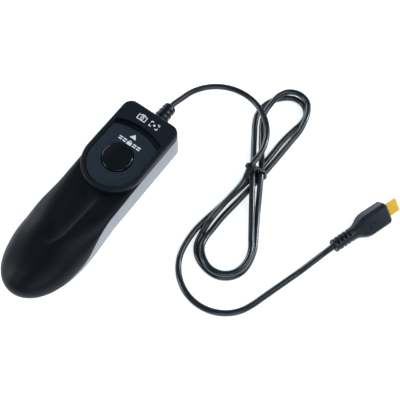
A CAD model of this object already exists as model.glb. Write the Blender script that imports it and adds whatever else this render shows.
"""A wired remote release: a handset, its wound cable held by a tie, and the plug.

The handset lies along y with its underside on z = 0. Its button is on the z axis, its tail
points to -y and the cable leaves the head at +y, then winds in a figure of eight on the +x
side. Lengths are in mm unless noted and become metres when a mesh is made.
"""

import math
from collections import namedtuple

import bmesh
import bpy
import numpy as np
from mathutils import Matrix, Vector

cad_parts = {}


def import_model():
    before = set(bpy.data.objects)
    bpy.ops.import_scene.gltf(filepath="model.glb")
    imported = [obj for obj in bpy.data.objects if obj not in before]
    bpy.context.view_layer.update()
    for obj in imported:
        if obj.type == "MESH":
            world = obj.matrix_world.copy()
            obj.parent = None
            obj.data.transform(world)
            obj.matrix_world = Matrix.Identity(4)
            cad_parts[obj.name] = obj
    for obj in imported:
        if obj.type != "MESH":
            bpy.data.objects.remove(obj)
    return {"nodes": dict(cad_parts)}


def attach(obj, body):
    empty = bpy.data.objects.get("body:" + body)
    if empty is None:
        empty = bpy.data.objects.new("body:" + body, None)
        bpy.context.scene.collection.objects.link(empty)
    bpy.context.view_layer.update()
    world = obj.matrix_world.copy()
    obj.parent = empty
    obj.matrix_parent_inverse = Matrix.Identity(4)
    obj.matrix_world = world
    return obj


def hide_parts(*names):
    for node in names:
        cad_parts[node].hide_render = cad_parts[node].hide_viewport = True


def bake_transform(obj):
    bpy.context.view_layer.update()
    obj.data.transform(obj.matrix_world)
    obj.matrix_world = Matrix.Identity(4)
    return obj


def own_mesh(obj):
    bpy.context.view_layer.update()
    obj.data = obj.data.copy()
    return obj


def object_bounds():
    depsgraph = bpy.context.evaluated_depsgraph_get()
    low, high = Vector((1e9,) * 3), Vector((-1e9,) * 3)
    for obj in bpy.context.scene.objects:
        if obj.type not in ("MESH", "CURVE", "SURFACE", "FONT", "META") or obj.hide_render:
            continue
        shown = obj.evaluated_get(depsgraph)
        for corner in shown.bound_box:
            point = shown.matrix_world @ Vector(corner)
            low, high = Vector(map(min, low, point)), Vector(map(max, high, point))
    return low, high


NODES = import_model()["nodes"]
cad_lo, cad_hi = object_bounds()
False      # a quick build and a full one are the same here

MM = 0.001

# Handset: head at +y, tail at -y
HEAD_Y, HEAD_HALF_W = 29.7, 16.3
TAIL_Y, TAIL_HALF_W = -79.6, 18.5
TAIL_TIP_Z = 9.0
DECK_Z, CORNER_R = 20.0, 5.0
WALL, GROOVE_DEPTH = 2.0, 2.0
SEAM = 0.13                 # half of the gap between the two shells
RECESS_Z, ROOF_Z = 17.6, 16.0
SCREWS = [(11.6, 23.6), (-11.6, 23.6), (0.0, -62.0)]

# Slide plate: a half circle at -y, straight sides and a shallow arc at +y
HOLD_TRAVEL = 3.0
PLATE_R, PLATE_Y = 13.7, -2.5
PLATE_END_Y, PLATE_END_R = 16.7, 32.0
PLATE_Z0, PLATE_Z1 = RECESS_Z + 0.1, DECK_Z - 0.4
BARREL_R, BARREL_Z = 8.8, 11.0
BORE_FLOOR_Z = BARREL_Z + 1
SPRING_Z0, SPRING_Z1 = BARREL_Z + 1.05, 18.25
BUTTON_R, BORE_R = 7.65, 7.85

# Cable and the ribbed boot it leaves the handset by
CABLE_R, CABLE_Z = 1.5, 9.5
SKIN_R = CABLE_R + 0.02
CABLE_BORE_R = CABLE_R + 0.15
MOUTH_Y = 42.0
NECK_R = 3.5
LAY_TURN = 1.3              # degrees the whole lay is turned about z
LAY_STEP = 6.0              # spacing of the lay's points
CLIMB = 22.0                # longest stretch over which the cable changes height
LIFT = 2.4

# Plug: y runs from the cable entry to the connector tip
PLUG_BOOT_L, PLUG_BOOT_R = 11.5, 3.25
PLUG_FRONT, PLUG_TIP = 32.5, 39.4
PLUG_HALF_W, PLUG_HALF_T = 11.6 / 2, 7.5 / 2
PLUG_Z, PLUG_ROLL = 5.7, 40.0


# ---------------------------------------------------------------- numbers
def ease(t):
    """Smooth step from 0 to 1."""
    return 0.0 if t <= 0 else 1.0 if t >= 1 else t * t * (3 - 2 * t)


def lookup(y, table):
    ys, values = zip(*table)
    return float(np.interp(y, ys, values))


def steps(value, stop, step):
    """Values from the first up to, but not including, stop."""
    out = []
    while (stop - value) * step > 0:
        out.append(value)
        value += step
    return out


def unit(v):
    v = np.asarray(v, float)
    return v / np.linalg.norm(v)


def quarter_angles(n):
    return [math.pi / 2 * i / n for i in range(n + 1)]


def rounding(n):
    """(1 - cos, sin) over a quarter turn: the shares of inset and rise of a rounded edge."""
    return [(1 - math.cos(q), math.sin(q)) for q in quarter_angles(n)]


def circle(r, sides, x=0.0, y=0.0):
    return [(x + r * math.cos(math.tau * i / sides), y + r * math.sin(math.tau * i / sides))
            for i in range(sides)]


def mirrored(points):
    """The points of a right half, mirrored to the left and reversed to continue the loop."""
    return [(-x, v) for x, v in reversed(points)]


def at_y(points, y):
    return [(x, y, z) for x, z in points]


def at_z(outline, z):
    return [(x, y, z) for x, y in outline]


# ---------------------------------------------------------------- mesh helpers
def add_object(name, data):
    ob = bpy.data.objects.new(name, data)
    bpy.context.scene.collection.objects.link(ob)
    return ob


def discard(obs):
    for ob in obs:
        data = ob.data
        bpy.data.objects.remove(ob)
        bpy.data.meshes.remove(data)


def shade(ob, sharp):
    """Smooth shading, with edges sharper than the angle in degrees kept hard."""
    mesh = ob.data
    mesh.polygons.foreach_set("use_smooth", [True] * len(mesh.polygons))
    mesh.set_sharp_from_angle(angle=math.radians(sharp))
    mesh.update()


def rings(name, loops, closed=False, sharp=32):
    """A skin over equal-length loops. closed joins last to first, otherwise the ends are capped."""
    n, m = len(loops[0]), len(loops)
    faces = []
    for j in range(m if closed else m - 1):
        k = (j + 1) % m
        for i in range(n):
            h = (i + 1) % n
            faces.append((j * n + i, k * n + i, k * n + h, j * n + h))
    if not closed:
        faces.append(tuple(range(n)))
        faces.append(tuple((m - 1) * n + i for i in range(n - 1, -1, -1)))
    mesh = bpy.data.meshes.new(name)
    mesh.from_pydata([(x * MM, y * MM, z * MM) for loop in loops for x, y, z in loop], [], faces)
    bm = bmesh.new()
    bm.from_mesh(mesh)
    bmesh.ops.remove_doubles(bm, verts=bm.verts, dist=1e-7)
    bmesh.ops.dissolve_degenerate(bm, edges=bm.edges, dist=1e-8)
    bmesh.ops.recalc_face_normals(bm, faces=bm.faces)
    bm.to_mesh(mesh)
    bm.free()
    ob = add_object(name, mesh)
    shade(ob, sharp)
    return ob


def stack(name, levels):
    """A closed skin over (outline, z) levels."""
    return rings(name, [at_z(outline, z) for outline, z in levels], closed=True, sharp=35)


def prism(name, outline, z0, z1, sharp=32):
    return rings(name, [at_z(outline, z0), at_z(outline, z1)], sharp=sharp)


def revolve(name, profile, sides, place=lambda p: p, closed=False, sharp=32):
    """profile: (radius, height) points. place maps each local point to its place."""
    loops = [[place((x, y, height)) for x, y in circle(r, sides)] for r, height in profile]
    return rings(name, loops, closed=closed, sharp=sharp)


def cut(ob, cutters, sharp):
    """Subtracts the cutters and deletes them."""
    for cutter in cutters:
        mod = ob.modifiers.new("cut", "BOOLEAN")
        mod.operation = "DIFFERENCE"
        mod.solver = "EXACT"
        mod.object = cutter
    bpy.context.view_layer.update()
    depsgraph = bpy.context.evaluated_depsgraph_get()
    mesh = bpy.data.meshes.new_from_object(ob.evaluated_get(depsgraph))
    ob.modifiers.clear()
    old = ob.data
    ob.data = mesh
    bpy.data.meshes.remove(old)
    discard(cutters)
    shade(ob, sharp)


def join(name, obs):
    """Joins separate closed solids into one object."""
    bm = bmesh.new()
    for ob in obs:
        bm.from_mesh(ob.data)
    mesh = bpy.data.meshes.new(name)
    bm.to_mesh(mesh)
    bm.free()
    discard(obs)
    return add_object(name, mesh)


# ---------------------------------------------------------------- plan outlines
# Every outline has the same segments, so that any two can be joined point to point:
# half circle at -y, right side, right corner, end at +y. Left corner and side are mirrored.
SEGMENTS = (72, 10, 12, 30)


def outline_of(*parts):
    """Each part is a function of 0..1 that gives its points in order."""
    low, right, corner, top = ([part(i / n) for i in range(n + 1)]
                               for part, n in zip(parts, SEGMENTS))
    return low[:-1] + right[:-1] + corner[:-1] + top[:-1] + mirrored(right[1:] + corner[1:])


def arc(r, start, end, x=0.0, y=0.0):
    def point(t):
        a = start + (end - start) * t
        return (x + r * math.cos(a), y + r * math.sin(a))
    return point


def line(start, end):
    (x0, y0), (x1, y1) = start, end
    return lambda t: (x0 + (x1 - x0) * t, y0 + (y1 - y0) * t)


def deck_outline(inset):
    r, corner_r = HEAD_HALF_W - inset, CORNER_R - inset
    x, y, end_y = HEAD_HALF_W - CORNER_R, HEAD_Y - CORNER_R, HEAD_Y - inset
    return outline_of(arc(r, math.pi, math.tau, 0, PLATE_Y),
                      line((r, PLATE_Y), (r, y)),
                      arc(corner_r, 0, math.pi / 2, x, y),
                      line((x, end_y), (-x, end_y)))


def plate_outline(grow, travel=0.0):
    """The slide plate's outline, grown outwards, with its +y end moved on by travel."""
    r = PLATE_R + grow
    end_y = PLATE_END_Y + travel + grow - PLATE_END_R
    corner_r = max(0.15, 0.9 + grow)
    x = r - corner_r
    y = end_y + math.sqrt((PLATE_END_R - corner_r) ** 2 - x ** 2)
    meet = math.atan2(y - end_y, x)
    return outline_of(arc(r, math.pi, math.tau, 0, PLATE_Y),
                      line((r, PLATE_Y), (r, y)),
                      arc(corner_r, 0, meet, x, y),
                      arc(PLATE_END_R, meet, math.pi - meet, 0, end_y))


def round_outline(r, travel=0.0):
    """A circle, or with travel a slot that reaches on towards +y."""
    side_end = 0.0 if travel else math.radians(12)
    side = line((r, 0), (r, travel)) if travel else arc(r, 0, side_end)
    return outline_of(arc(r, math.pi, math.tau), side,
                      arc(r, side_end, math.radians(50), 0, travel),
                      arc(r, math.radians(50), math.radians(130), 0, travel))


# ---------------------------------------------------------------- handset form
TAIL_PLAN_Y, TAIL_TOP_Y, TAIL_BOTTOM_Y = -48, -50, -57     # where each rounding of the tail starts

# y, height of the parting line
PART_LINE = [
    (-79.6, 9), (-70, 8.2), (-60, 7.6), (-50, 8), (-45, 9.4), (-40, 12), (-36, 13.6),
    (-30, 14.6), (-20, 15), (-10, 15.6), (0, 16), (40, 16),
]
# y, share of the half width taken by the rounded upper edge
EDGE_SHARE = [
    (-80, 0.9), (-62, 0.86), (-50, 0.76), (-40, 0.6), (-30, 0.44), (-20, 0.26), (-8, 0.12),
    (40, 0.1),
]
# y, width and y, height of the rounded lower edge
LOWER_EDGE_W = [(-80, 14), (-60, 12), (-44, 6), (-30, 2.5), (30, 2.5)]
LOWER_EDGE_H = [(-80, 9), (-60, 7), (-44, 5), (-30, 2.5), (30, 2.5)]
# y, size of the cavity's lower corner
CAVITY_CORNER = [(-80, 7), (-60, 6), (-44, 4), (-30, 1.5), (30, 1.5)]


def smoothed(table):
    """The table sampled and averaged over a few mm, so that the form has no kinks."""
    ys = np.linspace(-84, 42, 253)
    values = np.array([lookup(y, table) for y in ys])
    kernel = np.hanning(13)
    kernel /= kernel.sum()
    return ys, np.convolve(np.pad(values, 6, mode="edge"), kernel, mode="valid")


SMOOTH_PART = smoothed(PART_LINE)
SMOOTH_SHARE = smoothed(EDGE_SHARE)


def part_z(y):
    return float(np.interp(y, *SMOOTH_PART))


def tail_fall(y, start, power):
    """1 where the tail starts to round off, 0 at its tip."""
    return math.sqrt(max(0, 1 - ((start - y) / (start - TAIL_Y)) ** power))


def half_width(y):
    corner_y = HEAD_Y - CORNER_R
    if y > corner_y:
        return HEAD_HALF_W - CORNER_R + math.sqrt(max(0, CORNER_R ** 2 - (y - corner_y) ** 2))
    if y > TAIL_PLAN_Y:
        neck = HEAD_HALF_W + 0.1
        return neck + (TAIL_HALF_W - neck) * ease((-24 - y) / 24)
    return TAIL_HALF_W * tail_fall(y, TAIL_PLAN_Y, 2.4)


def top_z(y):
    if y > TAIL_TOP_Y:
        return 16.6 + 3 * ease((-22 - y) / 30)
    return TAIL_TIP_Z + (19.6 - TAIL_TIP_Z - 0.06) * tail_fall(y, TAIL_TOP_Y, 2.1)


def bottom_z(y):
    if y > TAIL_BOTTOM_Y:
        return 0.0
    return TAIL_TIP_Z - TAIL_TIP_Z * tail_fall(y, TAIL_BOTTOM_Y, 2.3)


def finger_groove(x, y):
    """Depth of a shallow channel with a rounded -y end and a fine raised rim there."""
    across = (x + 1.35) / 6.9
    along = (y + 43.0) / 11.6 if y < -43 else 0.0
    q = across * across + along * along
    bowl = 0.72 * (1 - q) * (1 + 0.5 * q) if q < 1 else 0.0
    rim = math.exp(-((math.sqrt(q) - 1.03) / 0.045) ** 2)
    return bowl * ease((-17 - y) / 8) - 0.2 * rim * ease((-34 - y) / 10) * ease((2.5 - x) / 4)


def cavity_groove(x, y):
    """How far the ceiling of the cavity dips below the finger groove."""
    s = 1 - (x / 11) ** 2
    depth = GROOVE_DEPTH * s * s if s > 0 else 0
    return depth * ease((-16 - y) / 10) * ease((y + 57.5) / 12)


def upper_loop(y):
    """Section of the top shell, with a tongue below the parting line that fills the seam."""
    half, part = max(half_width(y), 0.35), part_z(y)
    top, low = max(top_z(y), part + 0.3), part + SEAM
    edge_w = half * float(np.interp(y, *SMOOTH_SHARE))
    edge_h = min(top - part, 11)
    side = [(half, low)]
    side += [(half - edge_w + edge_w * math.cos(q), top - edge_h + edge_h * math.sin(q))
             for q in quarter_angles(34)[1:]]
    side += [((half - edge_w) * k / 20, top) for k in range(19, 0, -1)]
    side[:3] = [(x, max(z, low)) for x, z in side[:3]]
    tongue_x = half - 0.55 if half > 1 else half * 0.5
    right = [(tongue_x, part - 0.7), (tongue_x, low)]
    right += [(x, z - (finger_groove(x, y) if z > part + 0.5 else 0)) for x, z in side]
    return at_y(right + [(0, top - finger_groove(0, y))] + mirrored(right), y)


def lower_loop(y):
    """Section of the bottom shell."""
    half, part = max(half_width(y), 0.35), part_z(y)
    low = min(bottom_z(y), part - 0.3)
    edge_w = min(half * 0.9, lookup(y, LOWER_EDGE_W))
    edge_h = min(part - SEAM - low, lookup(y, LOWER_EDGE_H))
    right = [(half, part - SEAM)]
    right += [(half - edge_w + edge_w * math.cos(q), low + edge_h - edge_h * math.sin(q))
              for q in quarter_angles(12)]
    right += [((half - edge_w) * k / 4, low) for k in (3, 2, 1)]
    return at_y(right + [(0, low)] + mirrored(right), y)


def form_stations(step):
    """y of each section from head to tail, closer together at both ends."""
    corner_y = HEAD_Y - CORNER_R
    ys = [corner_y + CORNER_R * math.cos(q) for q in quarter_angles(8)]
    ys += steps(corner_y - step, -60, -step)
    last = ys[-1]
    ys += [TAIL_Y + (last - TAIL_Y) * (1 - math.sin(q)) for q in quarter_angles(30)[1:-1]]
    return ys + [TAIL_Y + 0.012]


def upper_cavity(y):
    half, part = half_width(y) - WALL, part_z(y)
    top = ROOF_Z if y > -8 else max(part + 0.4, top_z(y) - WALL - 0.4 * ease((-8 - y) / 8))
    flat = half - 1.2 - 5 * ease((-30 - y) / 20)
    ceiling = top - (0 if y > -16 else 0.3)
    right = [(half, part - 2.0), (half, min(top - 0.3, part + 0.9))]
    right += [(flat * k / 5, ceiling - cavity_groove(flat * k / 5, y)) for k in range(5, -1, -1)]
    return at_y(right + mirrored(right[:-1]), y)


def lower_cavity(y):
    """Wider above the ledge, where the top shell's tongue fits."""
    half, part, floor_z = half_width(y) - WALL, part_z(y), bottom_z(y) + WALL
    corner = lookup(y, CAVITY_CORNER)
    ledge_x, ledge_z = half_width(y) - 0.45, part - 0.85
    right = [(ledge_x, part + 1.0), (ledge_x, ledge_z), (half, ledge_z),
             (half, min(floor_z + corner, ledge_z - 0.2)),
             (half - 0.3 * corner, floor_z + 0.3 * corner), (half - corner, floor_z)]
    return at_y(right + mirrored(right), y)


CAVITY_STATIONS = [HEAD_Y - WALL - d for d in (0, 0.6, 1.4, 3)] + [20, 10, 0, -8, -12]
CAVITY_STATIONS += [-16 - 2 * i for i in range(25)] + [-66, -68, -70, -71.5, -73, -74]


# ---------------------------------------------------------------- materials
def srgb(r, g, b):
    def linear(c):
        c /= 255.0
        return c / 12.92 if c <= 0.04045 else ((c + 0.055) / 1.055) ** 2.4
    return (linear(r), linear(g), linear(b), 1.0)


def surface(name, colour, rough=0.45, rough_var=0.06, grain=0.25, bump=0.12, tint=0.12,
            tint_size=9.0, metallic=0.0, level=0.5, coat=0.0, streak=None, dust=None):
    """A moulded, rubber or metal finish.

    grain and tint_size are in mm. tint is the drift in tone, level the specular level. streak
    scales the grain's coordinates by axis. dust is a second colour on the peaks of the grain.
    """
    mat = bpy.data.materials.new(name)
    mat.use_nodes = True
    tree = mat.node_tree
    tree.nodes.clear()
    link = tree.links.new

    def node(kind, inputs=None, **settings):
        n = tree.nodes.new(kind)
        for key, value in settings.items():
            setattr(n, key, value)
        for key, value in (inputs or {}).items():
            n.inputs[key].default_value = value
        return n

    def map_range(source, low, high, to_low, to_high):
        n = node("ShaderNodeMapRange", {"From Min": low, "From Max": high,
                                        "To Min": to_low, "To Max": to_high})
        link(source, n.inputs["Value"])
        return n.outputs[0]

    out = node("ShaderNodeOutputMaterial")
    bsdf = node("ShaderNodeBsdfPrincipled", {
        "Metallic": metallic, "Specular IOR Level": level,
        "Coat Weight": coat, "Coat Roughness": 0.08})
    link(bsdf.outputs[0], out.inputs[0])
    coord = node("ShaderNodeTexCoord").outputs["Object"]
    mapping = node("ShaderNodeMapping", {"Scale": streak} if streak else None)
    link(coord, mapping.inputs["Vector"])

    # Slow drift in tone, multiplied into the colour
    slow = node("ShaderNodeTexNoise",
                {"Scale": 1000.0 / tint_size, "Detail": 3.0, "Roughness": 0.55})
    link(coord, slow.inputs["Vector"])
    tone = map_range(slow.outputs[0], 0.3, 0.7, 1.0 - tint, 1.0 + tint)
    tinted = node("ShaderNodeMix", data_type="RGBA", blend_type="MULTIPLY")
    tinted.inputs[0].default_value = 1.0
    tinted.inputs[6].default_value = colour
    grey = node("ShaderNodeCombineColor")
    for i in range(3):
        link(tone, grey.inputs[i])
    link(grey.outputs[0], tinted.inputs[7])
    base = tinted.outputs[2]

    fine = node("ShaderNodeTexNoise", {"Scale": 1000.0 / grain, "Detail": 4.0, "Roughness": 0.6})
    link(mapping.outputs[0], fine.inputs["Vector"])
    if dust:
        amount = map_range(fine.outputs[0], 0.55, 0.85, 0.0, 1.0)
        dusty = node("ShaderNodeMix", data_type="RGBA")
        link(amount, dusty.inputs[0])
        link(base, dusty.inputs[6])
        dusty.inputs[7].default_value = dust
        base = dusty.outputs[2]
    link(base, bsdf.inputs["Base Color"])

    # Roughness follows the mean of both noises
    mean = node("ShaderNodeMath", operation="ADD")
    for i, noise in enumerate((slow, fine)):
        half = node("ShaderNodeMath", {1: 0.5}, operation="MULTIPLY")
        link(noise.outputs[0], half.inputs[0])
        link(half.outputs[0], mean.inputs[i])
    roughness = map_range(mean.outputs[0], 0.3, 0.7,
                          max(0.02, rough - rough_var), min(1.0, rough + rough_var))
    link(roughness, bsdf.inputs["Roughness"])

    relief = node("ShaderNodeBump", {"Strength": bump, "Distance": grain * MM * 0.25})
    link(fine.outputs[0], relief.inputs["Height"])
    link(relief.outputs[0], bsdf.inputs["Normal"])
    return mat


LOOKS = {
    "deck": surface("satin_black_top", srgb(14, 22, 31), rough=0.47, rough_var=0.05, grain=0.42,
                    bump=0.35, tint=0.14, level=0.3, dust=srgb(38, 48, 60)),
    "grip": surface("satin_black_grip", srgb(5, 10, 17), rough=0.43, rough_var=0.07, grain=0.42,
                    bump=0.5, tint=0.2, level=0.24, dust=srgb(26, 36, 48)),
    "lower": surface("grey_lower_shell", srgb(146, 152, 159), rough=0.38, grain=0.3, bump=0.18,
                     tint=0.05),
    "plate": surface("slide_plate_plastic", srgb(33, 42, 52), rough_var=0.05, grain=0.42,
                     bump=0.35, tint=0.14, level=0.36, dust=srgb(64, 76, 88)),
    "button": surface("gloss_button", srgb(3, 7, 13), rough=0.2, rough_var=0.05, grain=0.5,
                      bump=0.06, tint=0.1, coat=0.5, level=0.35),
    "mould": surface("soft_mould_rubber", srgb(8, 13, 19), rough=0.34, rough_var=0.07,
                     grain=0.18, bump=0.25),
    "plug": surface("plug_overmould_rubber", srgb(20, 28, 37), rough=0.42, grain=0.36, bump=0.4,
                    tint=0.14, dust=srgb(46, 57, 69)),
    "cable": surface("cable_jacket_vinyl", srgb(10, 17, 26), rough=0.3, rough_var=0.07,
                     grain=0.35, bump=0.2, tint=0.15, tint_size=5, level=0.85, coat=0.3),
    "tie": surface("tie_rubber_band", srgb(7, 11, 17), rough=0.36, rough_var=0.08, bump=0.3,
                   tint=0.15, level=0.45),
    "gold": surface("gold_plating", (1.0, 0.57, 0.05, 1), rough=0.5, grain=0.12, bump=0.1,
                    tint=0.04, metallic=0.35, streak=(1, 0.12, 1)),
    "steel": surface("brushed_sheet_steel", (0.62, 0.63, 0.65, 1), rough=0.3, rough_var=0.08,
                     grain=0.15, bump=0.2, tint=0.05, metallic=1.0, streak=(0.08, 1, 1)),
    "screw": surface("zinc_screw_steel", (0.5, 0.51, 0.53, 1), rough=0.34, rough_var=0.1,
                     grain=0.3, bump=0.2, tint=0.1, metallic=1.0),
    "bronze": surface("phosphor_bronze", (0.78, 0.5, 0.26, 1), rough=0.32, rough_var=0.08,
                      grain=0.2, bump=0.15, tint=0.1, metallic=1.0, streak=(1, 0.1, 1)),
    "insulator": surface("phenolic_block", srgb(72, 42, 26), rough=0.5, rough_var=0.08,
                         grain=0.4, bump=0.25, tint=0.2, tint_size=3),
    "core": surface("connector_core_plastic", srgb(26, 28, 31), rough=0.42, rough_var=0.05,
                    grain=0.2, bump=0.15, tint=0.08),
    "wire": surface("wire_jacket_pvc", srgb(200, 203, 205), rough=0.4, grain=0.3, bump=0.15,
                    tint=0.06),
    "print": surface("white_pad_print", srgb(250, 251, 252), rough=0.6, rough_var=0.05,
                     grain=0.15, bump=0.1, tint=0.03),
    "stem": surface("stem_acetal", srgb(34, 38, 44), rough=0.35, rough_var=0.05, grain=0.3,
                    bump=0.1, tint=0.08),
}


def finish_piece(ob, look, body=None, replaced=None):
    """Gives a piece its material and slot, the body it rides on and the CAD node it replaces."""
    ob.data.materials.clear()
    ob.data.materials.append(LOOKS[look])
    if body:
        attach(ob, body)
    if replaced:
        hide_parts(replaced)


# ---------------------------------------------------------------- handset pieces
def on_cable_axis(p):
    """Local z becomes y, along the cable's way out of the handset."""
    return (p[0], p[2], CABLE_Z + p[1])


def neck_cutter():
    """Hole in the end wall for the boot's neck."""
    r = NECK_R + 0.12
    return revolve("cut_neck", [(r, 26.0), (r, 31.0)], 48, on_cable_axis)


def make_grip():
    grip = rings("grip_shell", [upper_loop(y) for y in form_stations(0.6)], sharp=40)
    cutters = [rings("cut_inner", [upper_cavity(y) for y in CAVITY_STATIONS]),
               prism("cut_deck", deck_outline(1.0), 8.0, 30.0),
               neck_cutter()]
    cut(grip, cutters, sharp=40)
    finish_piece(grip, "grip", "handset", "top_shell")


def make_deck():
    """Panel over the head, with a recess for the plate and a slot for its barrel."""
    rim_r, recess_edge, gap = 0.95, 0.18, 0.25
    slot = round_outline(BARREL_R + 0.2, HOLD_TRAVEL)
    levels = [(deck_outline(0.0), ROOF_Z + SEAM)]
    levels += [(deck_outline(rim_r * inset), DECK_Z - rim_r + rim_r * rise)
               for inset, rise in rounding(7)]
    levels += [(plate_outline(gap + recess_edge * (1 - rise), HOLD_TRAVEL),
                DECK_Z - recess_edge * inset) for inset, rise in rounding(3)]
    levels += [(plate_outline(gap, HOLD_TRAVEL), RECESS_Z), (slot, RECESS_Z), (slot, ROOF_Z),
               (deck_outline(2.2), ROOF_Z), (deck_outline(2.2), ROOF_Z + 0.12)]
    finish_piece(stack("deck_panel", levels), "deck", "handset")


def make_lower_shell():
    shell = rings("lower_shell", [lower_loop(y) for y in form_stations(1.6)], sharp=40)
    cutters = [rings("cut_inner", [lower_cavity(y) for y in CAVITY_STATIONS])]
    for i, (x, y) in enumerate(SCREWS):
        cutters.append(prism("cut_screw%d" % i, circle(2.3, 48, x, y), -1, 1.95))
    cutters.append(neck_cutter())
    # Shallow blank field on the underside, a rectangle with rounded corners
    field = []
    for dx, dy in circle(2.5, 64):
        field.append(((9.0 if dx > 0 else -9.0) + dx, (8.0 if dy > 0 else -34.0) + dy))
    cutters.append(prism("cut_field", field, -1, 0.3))
    cut(shell, cutters, sharp=40)
    finish_piece(shell, "lower", "handset", "bottom_shell")


def make_slide_plate():
    """Plate with a barrel below it, bored for the button."""
    edge, bore_edge, waist_r, stem_r = 0.28, 0.5, BARREL_R - 0.35, 2.6
    levels = [(round_outline(r), z) for r, z in (
        (waist_r, BARREL_Z), (BARREL_R, BARREL_Z + 0.35),
        (BARREL_R, 14.5), (waist_r, 14.5), (waist_r, 15.7), (BARREL_R, 15.7),
        (BARREL_R, PLATE_Z0))]
    levels += [(plate_outline(-0.15), PLATE_Z0), (plate_outline(0), PLATE_Z0 + 0.15)]
    levels += [(plate_outline(-edge * inset), PLATE_Z1 - edge + edge * rise)
               for inset, rise in rounding(5)]
    levels.append((round_outline(BORE_R + 0.55), PLATE_Z1))
    levels += [(round_outline(BORE_R + bore_edge * (1 - rise)), PLATE_Z1 - bore_edge * inset)
               for inset, rise in rounding(4)]
    levels += [(round_outline(BORE_R), BORE_FLOOR_Z), (round_outline(stem_r), BORE_FLOOR_Z),
               (round_outline(stem_r), BARREL_Z)]
    finish_piece(stack("slide_plate", levels), "plate", "slider",
                 "hold_slider")


def make_button():
    """Hollow cap with a slightly domed top and a socket for the stem."""
    dome_r, side_z, dome_z, crown_z = BUTTON_R - 0.7, 19.55, 20.17, 20.93
    profile = [(2.5, 16.2), (3.2, 16.2), (3.2, 18.6), (6.4, 18.4), (6.4, 14.6),
               (BUTTON_R - 0.15, 14.6), (BUTTON_R, 14.75), (BUTTON_R, side_z)]
    profile += [(BUTTON_R - 0.7 * inset, side_z + 0.62 * rise) for inset, rise in rounding(6)]
    for i in range(1, 15):
        r = dome_r * (1 - i / 14.0)
        profile.append((max(r, 0.02), dome_z + (crown_z - dome_z) * (1 - (r / dome_r) ** 2)))
    profile += [(0.02, 19.4), (2.5, 19.4)]
    button = revolve("button_cap_dome", profile, 128, closed=True, sharp=35)
    finish_piece(button, "button", "button", "button_cap")


def make_spring():
    """Compression spring with a closed coil at each end."""
    turns, per_turn, r, wire_r = 5, 28, 4.6, 0.3
    end_share = 0.12        # share of the rise taken by each end coil
    z0, z1 = SPRING_Z0 + wire_r, SPRING_Z1 - wire_r
    up = np.array([0.0, 0.0, 1.0])
    loops = []
    for i in range(turns * per_turn + 1):
        a = math.tau * i / per_turn
        t = i / per_turn
        middle = max(0.0, min(1.0, (t - 1) / (turns - 2)))
        share = (end_share * min(t, 1) + (1 - 2 * end_share) * middle
                 + end_share * max(0.0, t - turns + 1))
        outward = np.array([math.cos(a), math.sin(a), 0.0])
        centre = np.array([r * math.cos(a), r * math.sin(a), z0 + (z1 - z0) * share])
        loops.append([tuple(centre + wire_r * (c * outward + s * up)) for c, s in circle(1, 10)])
    spring = rings("return_spring_coil", loops, sharp=60)
    finish_piece(spring, "steel", "slider", "return_spring")
    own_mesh(spring)


def make_boot():
    """Tapered boot with round-bottomed grooves, a neck through the wall and a flange inside."""
    pitch, groove_half, groove_depth, swell = 2.53, 0.66, 0.55, 0.1
    grooves = [33.28 + pitch * i for i in range(3)]
    start, lip, root_r = HEAD_Y + 0.12, 0.85, 3.9

    def taper_r(y):
        return 4.2 + (3.25 - 4.2) * (y - HEAD_Y) / (MOUTH_Y - HEAD_Y)

    def groove_at(offset):
        if abs(offset) >= groove_half:
            return 0.0
        return groove_depth * math.sqrt(max(0.0, 1 - (offset / groove_half) ** 2))

    profile = [(CABLE_BORE_R, 26.1), (4.85, 26.1), (5, 26.25), (5, 27.45), (4.9, 27.6),
               (NECK_R, 27.6), (NECK_R, HEAD_Y + 0.1), (root_r, HEAD_Y + 0.1)]
    for y in steps(start, MOUTH_Y - lip, 0.07):
        depth = sum(groove_at(y - centre) for centre in grooves)
        if y > 33:      # slight swell between the grooves
            near = min(abs(y - centre - pitch / 2) for centre in grooves)
            depth -= swell * math.cos(min(1.0, near / 0.9) * math.pi / 2)
        profile.append((min(taper_r(y), root_r + 0.25 * ease((y - start) / 0.35)) - depth, y))
    profile += [(taper_r(MOUTH_Y - lip) - lip * inset, MOUTH_Y - lip + lip * rise)
                for inset, rise in rounding(7)]
    profile.append((CABLE_BORE_R, MOUTH_Y))
    boot = revolve("cable_boot_ribbed", profile, 72, on_cable_axis, closed=True, sharp=38)
    finish_piece(boot, "mould", "handset", "cable_boot")


# ---------------------------------------------------------------- cable route
# Wound in a figure of eight with two turns, as if round posts: straight from one post to the
# next and bent round each. side is 1 for a counterclockwise bend seen from above, -1 for a
# clockwise one. z_in and z_out are the cable's heights where the bend starts and ends.
Post = namedtuple("Post", "x y r side z_in z_out")


def rotate(p, degrees):
    c, s = math.cos(math.radians(degrees)), math.sin(math.radians(degrees))
    return np.array([p[0] * c - p[1] * s, p[0] * s + p[1] * c, p[2]])


def touch(x, y, heading, r, side, z):
    """The post that is tangent at x, y to a run with this heading in degrees."""
    a = math.radians(heading)
    return Post(x - side * r * math.sin(a), y + side * r * math.cos(a), r, side, z, z)


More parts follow.
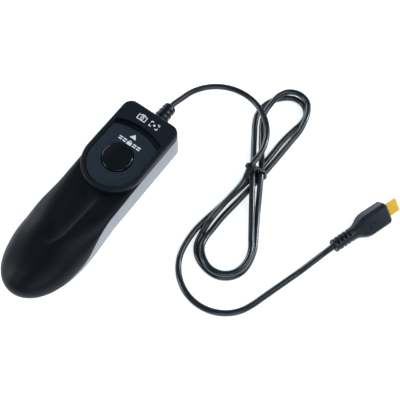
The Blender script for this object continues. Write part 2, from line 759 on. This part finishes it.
entry = rotate([0, MOUTH_Y, 0], -LAY_TURN)
POSTS = [
    Post(entry[0], entry[1], 0, 1, CABLE_Z, CABLE_Z), Post(27.5, 44.8, 25.6, -1, 8.8, 8.4),
    # past the tie and round the lower loop
    touch(52.9, 38.5, -86, 8, 1, 8.8), touch(54.2, 28, -90, 15, -1, 6),
    touch(52.2, 11, -95.5, 60, 1, 4.4),
    Post(65.1, -4, 13, 1, CABLE_R, CABLE_R), Post(67, -5, 12.4, 1, CABLE_R, CABLE_R),
    Post(66.2, -0.6, 12.4, 1, CABLE_R, CABLE_R),
    # past the tie and round the upper loop
    touch(57.6, 40.7, 122, 50, 1, 5.75),
    Post(58, 73.6, 17.5, -1, CABLE_R, 3.9), Post(50.6, 80.2, 9, -1, 4.9, 4.7),
    Post(44.1, 71.5, 17.7, -1, 4.6, 3.8),
    touch(59.5, 40.5, -96, 40, -1, LIFT), Post(115.1, 3, 60, 1, CABLE_R, CABLE_R),
    # the second turn, on top of the first
    Post(65.7, -4.8, 10.5, 1, 2.8, 4.5), Post(67.3, -5.6, 10.9, 1, 4.8, 4.8),
    Post(66.6, -3.4, 11.6, 1, 4.7, 4.5),
    touch(55.3, 36.2, 122, 50, -1, 5.75),
    Post(54.6, 71, 17, -1, CABLE_R, CABLE_R), Post(50.8, 78.4, 9, -1, CABLE_R, CABLE_R),
    touch(57.4, 64, -98, 40, 1, CABLE_R),
    # out to the plug
    touch(56.1, 37.6, -100, 20, -1, LIFT),
    Post(93.1, -6.5, 44.8, 1, CABLE_R, CABLE_R), Post(70.9, -11.2, 22.2, 1, CABLE_R, CABLE_R),
    Post(108.1, 26, 0, 1, PLUG_Z, PLUG_Z),
]


def run_heading(a, b):
    """Heading in degrees of the straight run tangent to both posts."""
    dx, dy = b.x - a.x, b.y - a.y
    offset = (b.side * b.r - a.side * a.r) / math.hypot(dx, dy)
    return math.degrees(math.atan2(dy, dx) - math.asin(offset))


def on_post(post, heading):
    """Where a cable with this heading touches the post."""
    q = math.radians(heading)
    return np.array([post.x + post.side * post.r * math.sin(q),
                     post.y - post.side * post.r * math.cos(q)])


def run_z(z0, z1, t, length):
    """Height along a run, which comes down early or goes up late."""
    climb = min(length, CLIMB)
    if z0 >= z1:
        return z1 + (z0 - z1) * ease(1 - t * length / climb)
    return z0 + (z1 - z0) * ease(1 - (1 - t) * length / climb)


def bend(post, heading_in, heading_out):
    sweep = ((heading_out - heading_in) * post.side) % 360
    count = math.floor(math.radians(sweep) * post.r / LAY_STEP + 0.5)
    out = []
    for j in range(count + 1):
        t = 0.5 if count == 0 else j / count
        x, y = on_post(post, heading_in + post.side * sweep * t)
        out.append([x, y, post.z_in + (post.z_out - post.z_in) * t])
    return out


def run(a, b, heading):
    start, end = on_post(a, heading), on_post(b, heading)
    length = float(np.linalg.norm(end - start))
    count = math.floor(length / LAY_STEP + 0.5)
    return [[*(start + (end - start) * j / count), run_z(a.z_out, b.z_in, j / count, length)]
            for j in range(1, count)]


def wind(posts):
    headings = [run_heading(a, b) for a, b in zip(posts, posts[1:])]
    first, last = posts[0], posts[-1]
    out = [[first.x, first.y, first.z_in]] + run(first, posts[1], headings[0])
    for i in range(1, len(posts) - 1):
        out += bend(posts[i], headings[i - 1], headings[i])
        out += run(posts[i], posts[i + 1], headings[i])
    return out + [[last.x, last.y, last.z_in]]


def smooth_curve(points, step, start_dir, end_dir):
    """Cubic Hermite curve through the points, kept above the floor."""
    def tangent(i):
        if i == 0:
            return unit(start_dir)
        if i == len(points) - 1:
            return unit(end_dir)
        before, after = points[i] - points[i - 1], points[i + 1] - points[i]
        d0, d1 = np.linalg.norm(before), np.linalg.norm(after)
        return (before / d0 * d1 + after / d1 * d0) / (d0 + d1)

    out = []
    for i in range(len(points) - 1):
        length = np.linalg.norm(points[i + 1] - points[i])
        count = max(1, math.ceil(length / step))
        m0, m1 = tangent(i) * length, tangent(i + 1) * length
        for j in range(count):
            t = j / count
            out.append((2 * t ** 3 - 3 * t ** 2 + 1) * points[i]
                       + (t ** 3 - 2 * t ** 2 + t) * m0
                       + (3 * t ** 2 - 2 * t ** 3) * points[i + 1] + (t ** 3 - t ** 2) * m1)
    out.append(points[-1])
    return [np.array([x, y, max(z, CABLE_R + 0.05)]) for x, y, z in out]


lay = [rotate(p, LAY_TURN) for p in wind(POSTS)]
plug_pos = lay[-1]
plug_dir = unit(rotate([0.358, 0.934, 0.0], LAY_TURN))
plug_turn = math.atan2(plug_dir[1], plug_dir[0]) - math.pi / 2
route = smooth_curve(lay, 0.8, [0, 1, 0], plug_dir + np.array([0, 0, 0.1]))

# The tie lies in an upright plane through tie_pos, along tie_x and across tie_normal
tie_pos = rotate([56.9, 38.4, 0], LAY_TURN)
tie_turn = math.radians(15 + LAY_TURN)
tie_x = np.array([math.cos(tie_turn), math.sin(tie_turn), 0.0])
tie_normal = np.array([-math.sin(tie_turn), math.cos(tie_turn), 0.0])


def tie_crossings():
    """(route index, point) for each pass of the cable through the tie."""
    out = []
    for i, (start, end) in enumerate(zip(route, route[1:])):
        a, b = (start - tie_pos) @ tie_normal, (end - tie_pos) @ tie_normal
        if a * b <= 0 and np.linalg.norm((start - tie_pos)[:2]) < 14:
            out.append((i, start + (end - start) * a / (a - b)))
    return out


crossings = tie_crossings()


# ---------------------------------------------------------------- cable pieces
def drop_close(points, index, neighbours):
    """Removes the indexed point if it all but coincides with one of the neighbours."""
    if min(np.linalg.norm(points[index] - points[k]) for k in neighbours) < 0.05:
        points.pop(index)


def strand(name, points, start_dir=None, end_dir=None):
    last = len(points) - 1
    along = [points[min(i + 1, last)] - points[max(i - 1, 0)] for i in range(last + 1)]
    if start_dir is not None:
        along[0] = start_dir
    if end_dir is not None:
        along[-1] = end_dir
    loops = []
    for point, direction in zip(points, along):
        d = unit(direction)
        side = unit(np.cross([0, 0, 1], d))
        up = np.cross(d, side)
        loops.append([tuple(point + SKIN_R * (c * side + s * up)) for c, s in circle(1, 20)])
    return rings(name, loops, sharp=60)


def make_cords():
    """Two legs that flex and the wound turns between them, parted at the tie."""
    (i0, point0), (i1, point1) = crossings[0], crossings[-1]
    dir0, dir1 = unit(route[i0 + 1] - route[i0]), unit(route[i1 + 1] - route[i1])

    inside = [np.array([0, y, CABLE_Z]) for y in np.arange(19.6, MOUTH_Y - 0.2, 1.2)]
    handset_points = inside + route[:i0 + 1] + [point0]
    drop_close(handset_points, -2, (-1,))
    coil_points = [point0] + route[i0 + 1:i1 + 1] + [point1]
    drop_close(coil_points, 1, (0, 2))
    drop_close(coil_points, -2, (-3, -1))
    in_plug_points = [plug_pos + plug_dir * s for s in np.arange(0.8, 17.0, 1.0)]
    plug_points = [point1] + route[i1 + 1:] + in_plug_points
    drop_close(plug_points, 1, (0,))

    handset_leg = strand("cord_handset_leg", handset_points, end_dir=dir0)
    turns = strand("cord_coiled_turns", coil_points, dir0, dir1)
    plug_leg = strand("cord_plug_leg", plug_points, dir1)

    # Each leg follows the handset or plug at one end and the wound cable at the other
    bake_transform(handset_leg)
    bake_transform(plug_leg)
    finish_piece(handset_leg, "cable", None, "cable_handset_end")
    finish_piece(turns, "cable", "cable", "cable_coil")
    finish_piece(plug_leg, "cable", None, "cable_plug_end")


def tie_loop(r, across):
    """A loop stretched round all the passes of the cable, r from their centres."""
    centres = [np.array([(p - tie_pos) @ tie_x, max(p[2], r + 0.04)]) for i, p in crossings]
    loop = []
    for c, s in circle(1, 96):
        outward = np.array([c, s])
        x, z = max(centres, key=lambda centre: centre @ outward) + outward * r
        loop.append(tuple(tie_pos + tie_x * x + np.array([0, 0, z]) + tie_normal * across))
    return loop


def make_tie():
    """Band whose cross-section is a circle cut flat on four sides."""
    mid_r, half_thick, half_wide = 2.22, 0.34, 0.82
    loops = [tie_loop(mid_r + half_thick * max(-1, min(1, s)), half_wide * max(-1, min(1, c)))
             for c, s in circle(1.2, 16)]
    tie = rings("cable_tie_band", loops, closed=True, sharp=50)
    finish_piece(tie, "tie", "cable", "cable_tie")


# ---------------------------------------------------------------- plug
def in_plug(p):
    """From the plug's own frame to its place, rolled about its axis and turned about z."""
    c, s = math.cos(math.radians(PLUG_ROLL)), math.sin(math.radians(PLUG_ROLL))
    x, y, z = p[0] * c + p[2] * s, p[1], -p[0] * s + p[2] * c
    c, s = math.cos(plug_turn), math.sin(plug_turn)
    return (plug_pos[0] + x * c - y * s, plug_pos[1] + x * s + y * c, plug_pos[2] + z)


def plug_loop(y, half_w=5, half_t=5, chamfer=1.5, mix=0.0, r=PLUG_BOOT_R, notch=0.0):
    """mix 0 is a circle of radius r, 1 a chamfered rectangle.

    notch cuts into the sides but leaves a spine above and below.
    """
    marks = [0.0, math.atan2(half_t - chamfer, half_w), math.atan2(half_t, half_w - chamfer),
             math.pi / 2]
    quarter = []
    for start, end, count in zip(marks, marks[1:], (7, 7, 10)):
        quarter += [start + (end - start) * j / count for j in range(count)]
    quarter.append(math.pi / 2)
    angles = quarter + [math.pi - a for a in reversed(quarter[:-1])]
    angles += [math.pi + a for a in quarter[1:]]
    angles += [math.tau - a for a in reversed(quarter[1:-1])]
    out = []
    for i, angle in enumerate(angles):
        even = math.tau * i / len(angles)
        a = even + (angle - even) * min(1.0, mix * 1.6)
        c, s = math.cos(a), math.sin(a)
        flat = min(half_w / abs(c) if abs(c) > 1e-9 else 1e9,
                   half_t / abs(s) if abs(s) > 1e-9 else 1e9,
                   (half_w + half_t - chamfer) / (abs(c) + abs(s)))
        reach = (r - notch * ease((abs(c) - 0.34) / 0.16)) * (1 - mix) + flat * mix
        out.append(in_plug((reach * c, y, reach * s)))
    return out


def bar(x0, y0, x1, y1):
    return [(x0, y0), (x1, y0), (x1, y1), (x0, y1)]


def plug_prism(name, outline, z0, z1):
    return rings(name, [[in_plug(p) for p in at_z(outline, z)] for z in (z0, z1)])


def plug_tube(name, r, y0, y1):
    return rings(name, [[in_plug(p) for p in at_y(circle(r, 40), y)] for y in (y0, y1)])


def make_plug():
    """Notched round boot that widens into a flat chamfered body."""
    mouth_r, notch_half, notch_depth = 0.5, 0.62, 1.05
    notches = [2.15 + 2.3 * i for i in range(4)]
    loops = [plug_loop(mouth_r * inset, r=PLUG_BOOT_R - mouth_r + mouth_r * rise)
             for inset, rise in rounding(5)]
    for y in steps(0.6, PLUG_BOOT_L - 1.35, 0.08):
        near = min(abs(y - centre) for centre in notches)
        loops.append(plug_loop(y, notch=notch_depth * ease((notch_half - near) / 0.16)))
    for i in range(27):
        t = i / 26
        loops.append(plug_loop(
            PLUG_BOOT_L - 1.2 + t * 10.2,
            half_w=PLUG_BOOT_R + (PLUG_HALF_W - PLUG_BOOT_R) * ease(t),
            half_t=PLUG_BOOT_R + (PLUG_HALF_T - PLUG_BOOT_R) * ease(t),
            chamfer=1.9 - 0.4 * t, mix=ease(min(1, t * 1.5))))
    # Front edge: distance back from the front, inset of width and thickness, chamfer
    for back, inset_w, inset_t, chamfer in ((1.15, 0, 0, 1.5), (1.05, 0.04, 0.03, 1.5),
                                            (0.1, 0.9, 0.8, 1.25), (0, 1.0, 0.88, 1.2)):
        loops.append(plug_loop(PLUG_FRONT - back, PLUG_HALF_W - inset_w, PLUG_HALF_T - inset_t,
                               chamfer, mix=1.0))
    plug = rings("plug_overmould_body", loops, sharp=22)

    core = bar(-4.15, PLUG_BOOT_L + 7.4, 4.15, PLUG_FRONT - 1.4)
    front = bar(-3.45, PLUG_FRONT - 3, 3.45, PLUG_FRONT + 2)
    cutters = [plug_tube("cut_bore", CABLE_BORE_R, -1, PLUG_BOOT_L + 5.5),
               plug_tube("cut_crimp", 2.15, PLUG_BOOT_L + 3.3, PLUG_BOOT_L + 8.3),
               plug_prism("cut_core", core, -2.1, 2.1),
               plug_prism("cut_front", front, -0.95, 0.95)]
    # Two ejector dimples on the upper face
    for i, (x, y) in enumerate(((-0.2, 22.9), (0.9, 19.9))):
        cutters.append(plug_prism("cut_dimple%d" % i, circle(0.42, 24, x, y),
                                  PLUG_HALF_T - 0.35, PLUG_HALF_T + 1))
    cut(plug, cutters, sharp=22)
    finish_piece(plug, "plug", "plug", "plug_overmould")


# x, z corners of the connector shell: a flat top and cut lower corners
CONNECTOR = [(-3.425, 0.9), (-3.425, -0.25), (-2.7, -0.9), (2.7, -0.9), (3.425, -0.25),
             (3.425, 0.9)]


def corners(points):
    """Each point with the ones before and after it."""
    return zip(points[-1:] + points[:-1], points, points[1:] + points[:1])


def connector_loop(y, inset):
    """The connector outline inset, with a small bend at each corner."""
    moved = []
    for before, here, after in corners([np.array(p) for p in CONNECTOR]):
        a, b = unit(here - before), unit(after - here)
        normal_a, normal_b = np.array([-a[1], a[0]]), np.array([-b[1], b[0]])
        middle = unit(normal_a + normal_b)
        moved.append(here + middle * inset / max(0.2, middle @ normal_a))
    bend_r = max(0.06, 0.38 - inset)
    points = []
    for before, here, after in corners(moved):
        a, b = unit(before - here), unit(after - here)
        angle = math.acos(max(-1, min(1, a @ b)))
        shorter = min(np.linalg.norm(before - here), np.linalg.norm(after - here))
        length = min(bend_r / math.tan(angle / 2), 0.45 * shorter)
        start, end = here + a * length, here + b * length
        for j in range(7):
            t = j / 6
            points.append((1 - t) ** 2 * start + 2 * t * (1 - t) * here + t * t * end)
    return [in_plug(p) for p in at_y(points, y)]


def make_connector_shell():
    """Open metal sleeve with two windows in its lower face."""
    back_y, thick = 25.5, 0.3
    sections = [(back_y, thick), (back_y, 0.0), (PLUG_TIP - 0.12, 0.0), (PLUG_TIP - 0.04, 0.03),
                (PLUG_TIP, 0.1), (PLUG_TIP, 0.24), (PLUG_TIP - 0.06, thick)]
    shell = rings("connector_shell", [connector_loop(y, inset) for y, inset in sections],
                  closed=True, sharp=35)
    cutters = [plug_prism("cut_win%d" % i, bar(x - 0.45, 35, x + 0.45, 36.9), -2, -0.4)
               for i, x in enumerate((-1.85, 1.85))]
    cut(shell, cutters, sharp=35)
    finish_piece(shell, "gold", "plug", "plug_shell")


# ---------------------------------------------------------------- markings, thin raised print
def make_print(name, outlines, z, body):
    solids = [prism("%s_%d" % (name, i), outline, z - 0.02, z + 0.035, sharp=30)
              for i, outline in enumerate(outlines)]
    finish_piece(join(name, solids), "print", body)


def band(x, y, inner_r, outer_r, start, end):
    """Part of a flat ring."""
    def edge(r, angles):
        return [(x + r * math.cos(a), y + r * math.sin(a)) for a in angles]
    return (edge(outer_r, np.linspace(start, end, 24))
            + edge(inner_r, np.linspace(end, start, 24)))


def make_plate_prints():
    """An arrow along the slide, and a padlock between pairs of bars."""
    make_print("slide_arrow_print", [[(-2.15, 12.1), (1.65, 12.1), (-0.25, 14.6)]], PLATE_Z1,
               "slider")
    lock = [bar(-1.3, 8.2, 1.3, 9.85), band(0.0, 9.8, 0.5, 0.95, 0, math.pi)]
    for side in (-1, 1):
        for x in (2.0, 4.5):
            for y0, y1 in ((8.45, 9.1), (9.6, 10.25)):
                lock.append(bar(side * x, y0, side * (x + 1.9), y1))
    make_print("hold_mark_print", lock, PLATE_Z1, "slider")


def make_deck_print():
    """A camera pictogram on the left, and focus brackets round a dot on the right."""
    x, y = -3.5, 23.9
    icon = [bar(x - 2.6, y - 1.7, x + 2.6, y - 1.2), bar(x - 2.6, y + 0.95, x + 2.6, y + 1.4),
            bar(x - 2.6, y - 1.1, x - 2.1, y + 0.85), bar(x + 2.1, y - 1.1, x + 2.6, y + 0.85),
            bar(x - 1.1, y + 1.5, x + 1.1, y + 1.95)]
    icon += [band(x, y - 0.15, 0.45, 0.92, start, start + math.pi) for start in (0, math.pi)]
    x = 4.0
    bracket = [(2.6, 1.65), (1.2, 1.65), (1.2, 1.15), (2.1, 1.15), (2.1, 0.5), (2.6, 0.5)]
    for sx in (-1, 1):
        for sy in (-1, 1):
            icon.append([(x + sx * dx, y + sy * dy) for dx, dy in bracket])
    icon.append(circle(0.6, 20, x, y))
    make_print("deck_pictogram_print", icon, DECK_Z, "handset")


# ---------------------------------------------------------------- CAD pieces that stay
CAD_LOOKS = {
    "screw": ["case_screws", "latch_screws", "block_screws", "clamp_screws"],
    "steel": ["slider_keeper", "stem_clip", "latch_plate", "cord_clamp", "plug_crimp"],
    "stem": ["button_stem"],
    "insulator": ["contact_block"],
    "bronze": ["contact_terminals", "common_leaf", "focus_leaf", "shutter_leaf"],
    "wire": ["handset_wires", "plug_wires"],
    "core": ["plug_core"],
    "gold": ["plug_contacts", "plug_latches"],
}


def dress_cad_pieces():
    for look, names in CAD_LOOKS.items():
        for name in names:
            ob = NODES[name]
            if not ob.material_slots:
                ob.data.materials.append(LOOKS[look])
            for slot in ob.material_slots:
                slot.material = LOOKS[look]


# ---------------------------------------------------------------- stage, camera and lights
TARGET = Vector((40.5, 12.1, 0.0)) * MM
AZIMUTH, ELEVATION = math.radians(36.3), math.radians(67)
CAMERA_DISTANCE = 0.340     # metres
# The view's own directions: to the right, and away from the camera along the floor
RIGHT = Vector((math.cos(AZIMUTH), math.sin(AZIMUTH), 0))
AWAY = Vector((-math.sin(AZIMUTH), math.cos(AZIMUTH), 0))
UP = Vector((0, 0, 1))

# name, direction as (right, away, up), distance, width and height in metres, power in watts
SOFTBOXES = [
    ("back_left", (-0.60, 0.70, 0.36), 1.1, 0.6, 0.36, 3.6),
    ("key_right", (0.62, -0.05, 0.78), 1.1, 0.4, 0.8, 2.8),
    ("edge_right", (0.90, 0.22, 0.40), 1.0, 0.14, 0.3, 3.6),
    ("front_fill", (0.10, -0.78, 0.60), 1.1, 0.8, 0.4, 2.2),
    ("edge_left", (-0.90, -0.12, 0.42), 1.0, 0.3, 0.6, 2.4),
]


def make_floor():
    half = 6.0      # metres
    mesh = bpy.data.meshes.new("floor")
    mesh.from_pydata(at_z(bar(-half, -half, half, half), 0), [], [(0, 1, 2, 3)])
    floor = add_object("studio_floor", mesh)
    floor.location.z = cad_lo.z - 0.00005
    mat = surface("pale_floor", srgb(246, 246, 246), rough=0.9, rough_var=0.03, grain=2.0,
                  bump=0.01, tint=0.002, level=0.1)
    bsdf = mat.node_tree.nodes["Principled BSDF"]
    bsdf.inputs["Emission Color"].default_value = (1, 1, 1, 1)
    bsdf.inputs["Emission Strength"].default_value = 0.72
    mesh.materials.append(mat)


def make_camera():
    back = Vector((math.sin(AZIMUTH) * math.cos(ELEVATION),
                   -math.cos(AZIMUTH) * math.cos(ELEVATION), math.sin(ELEVATION)))
    data = bpy.data.cameras.new("camera")
    data.sensor_width = 36.0
    data.lens = 61.2
    data.clip_start = 0.01
    camera = add_object("camera", data)
    camera.location = TARGET + back * CAMERA_DISTANCE
    camera.rotation_euler = (-back).to_track_quat("-Z", "Y").to_euler()
    bpy.context.scene.camera = camera


def make_softbox(name, direction, distance, width, height, power):
    data = bpy.data.lights.new(name, "AREA")
    data.shape = "RECTANGLE"
    data.size, data.size_y = width, height
    data.energy = power
    data.color = (0.86, 0.94, 1.0)
    light = add_object(name, data)
    right, away, up = direction
    towards = (RIGHT * right + AWAY * away + UP * up).normalized()
    light.location = TARGET + towards * distance
    light.rotation_euler = towards.to_track_quat("Z", "Y").to_euler()


def make_world():
    world = bpy.data.worlds.new("studio")
    world.use_nodes = True
    background = world.node_tree.nodes["Background"]
    background.inputs["Color"].default_value = (0.64, 0.84, 1.0, 1)
    background.inputs["Strength"].default_value = 0.17
    scene = bpy.context.scene
    scene.world = world
    scene.view_settings.view_transform = "Standard"
    scene.view_settings.look = "None"


make_grip()
make_deck()
make_lower_shell()
make_slide_plate()
make_button()
make_spring()
make_boot()
make_cords()
make_tie()
make_plug()
make_connector_shell()
make_plate_prints()
make_deck_print()
dress_cad_pieces()
make_floor()
make_camera()
for softbox in SOFTBOXES:
    make_softbox(*softbox)
make_world()
